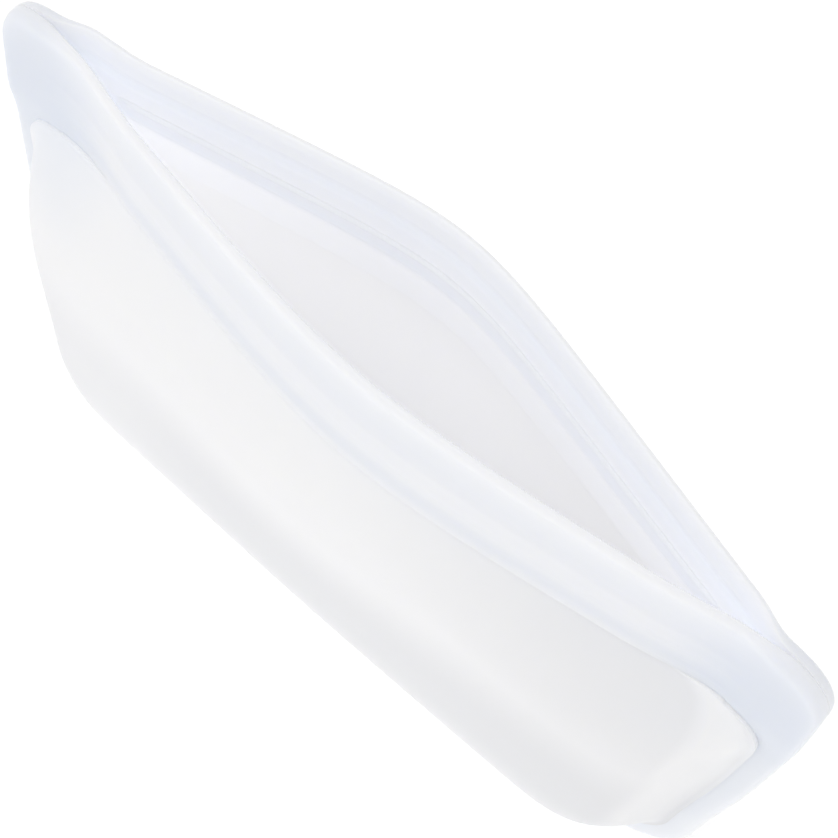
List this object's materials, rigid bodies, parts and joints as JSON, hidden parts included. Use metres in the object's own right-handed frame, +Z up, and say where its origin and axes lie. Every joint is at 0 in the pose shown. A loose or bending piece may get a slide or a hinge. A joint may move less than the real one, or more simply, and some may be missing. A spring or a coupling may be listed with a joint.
{
  "type": "reusable silicone bag",
  "caption": "Flat reusable silicone food bag, pillow shaped walls inside a bonded margin, with a thick bowed press-seal mouth that closes flat and opens further.",
  "frame": {"origin": "middle of the bottom seam's underside, in the plane of the bonded margin", "axes": "+X along the mouth, +Y towards the back, front wall faces -Y, +Z up to the mouth"},
  "size_m": [0.1976, 0.0517, 0.134],
  "materials": {
    "front_wall": "frosted translucent silicone, satin",
    "back_wall": "frosted translucent silicone, satin",
    "left_side_seam": "frosted translucent silicone, satin",
    "right_side_seam": "frosted translucent silicone, satin",
    "bottom_seam": "frosted translucent silicone, satin",
    "left_corner_tab": "frosted translucent silicone, satin",
    "right_corner_tab": "frosted translucent silicone, satin",
    "front_lip_left": "frosted translucent silicone, satin",
    "front_seal_track_left": "frosted translucent silicone, satin",
    "front_lip_middle": "frosted translucent silicone, satin",
    "front_seal_track_middle": "frosted translucent silicone, satin",
    "front_lip_right": "frosted translucent silicone, satin",
    "front_seal_track_right": "frosted translucent silicone, satin",
    "back_lip_left": "frosted translucent silicone, satin",
    "back_seal_rib_left": "frosted translucent silicone, satin",
    "back_lip_middle": "frosted translucent silicone, satin",
    "back_seal_rib_middle": "frosted translucent silicone, satin",
    "back_lip_right": "frosted translucent silicone, satin",
    "back_seal_rib_right": "frosted translucent silicone, satin"
  },
  "bodies": {
    "pouch": {"front_wall": "front_wall", "back_wall": "back_wall", "left_side_seam": "left_side_seam", "right_side_seam": "right_side_seam", "bottom_seam": "bottom_seam", "left_corner_tab": "left_corner_tab", "right_corner_tab": "right_corner_tab"},
    "front_lip_left": {"front_lip_left": "front_lip_left", "front_seal_track_left": "front_seal_track_left"},
    "front_lip_middle": {"front_lip_middle": "front_lip_middle", "front_seal_track_middle": "front_seal_track_middle"},
    "front_lip_right": {"front_lip_right": "front_lip_right", "front_seal_track_right": "front_seal_track_right"},
    "back_lip_left": {"back_lip_left": "back_lip_left", "back_seal_rib_left": "back_seal_rib_left"},
    "back_lip_middle": {"back_lip_middle": "back_lip_middle", "back_seal_rib_middle": "back_seal_rib_middle"},
    "back_lip_right": {"back_lip_right": "back_lip_right", "back_seal_rib_right": "back_seal_rib_right"}
  },
  "joints": [
    {"name": "front_lip_close", "type": "slide", "parent": "pouch", "child": "front_lip_middle", "axis": [0, 1, 0], "range_m": [-0.01, 0.0101]},
    {"name": "front_lip_left_fold", "type": "hinge", "parent": "pouch", "child": "front_lip_left", "pos_m": [-0.0875, -0.0023, 0.1032], "axis": [0, 0, 1], "range_deg": [-8.5, 8.6]},
    {"name": "front_lip_right_fold", "type": "hinge", "parent": "pouch", "child": "front_lip_right", "pos_m": [0.0875, -0.0023, 0.1032], "axis": [0, 0, -1], "range_deg": [-8.5, 8.6]},
    {"name": "back_lip_close", "type": "slide", "parent": "pouch", "child": "back_lip_middle", "axis": [0, -1, 0], "range_m": [-0.01, 0.0154]},
    {"name": "back_lip_left_fold", "type": "hinge", "parent": "pouch", "child": "back_lip_left", "pos_m": [-0.0875, 0.0023, 0.1032], "axis": [0, 0, -1], "range_deg": [-8.4, 12.7]},
    {"name": "back_lip_right_fold", "type": "hinge", "parent": "pouch", "child": "back_lip_right", "pos_m": [0.0875, 0.0023, 0.1032], "axis": [0, 0, 1], "range_deg": [-8.4, 12.7]}
  ],
  "couplings": [
    {"joint": "front_lip_left_fold", "follows": "front_lip_close", "rad_per_m": 14.29},
    {"joint": "front_lip_right_fold", "follows": "front_lip_close", "rad_per_m": 14.29},
    {"joint": "back_lip_left_fold", "follows": "back_lip_close", "rad_per_m": 14.08},
    {"joint": "back_lip_right_fold", "follows": "back_lip_close", "rad_per_m": 14.08}
  ]
}
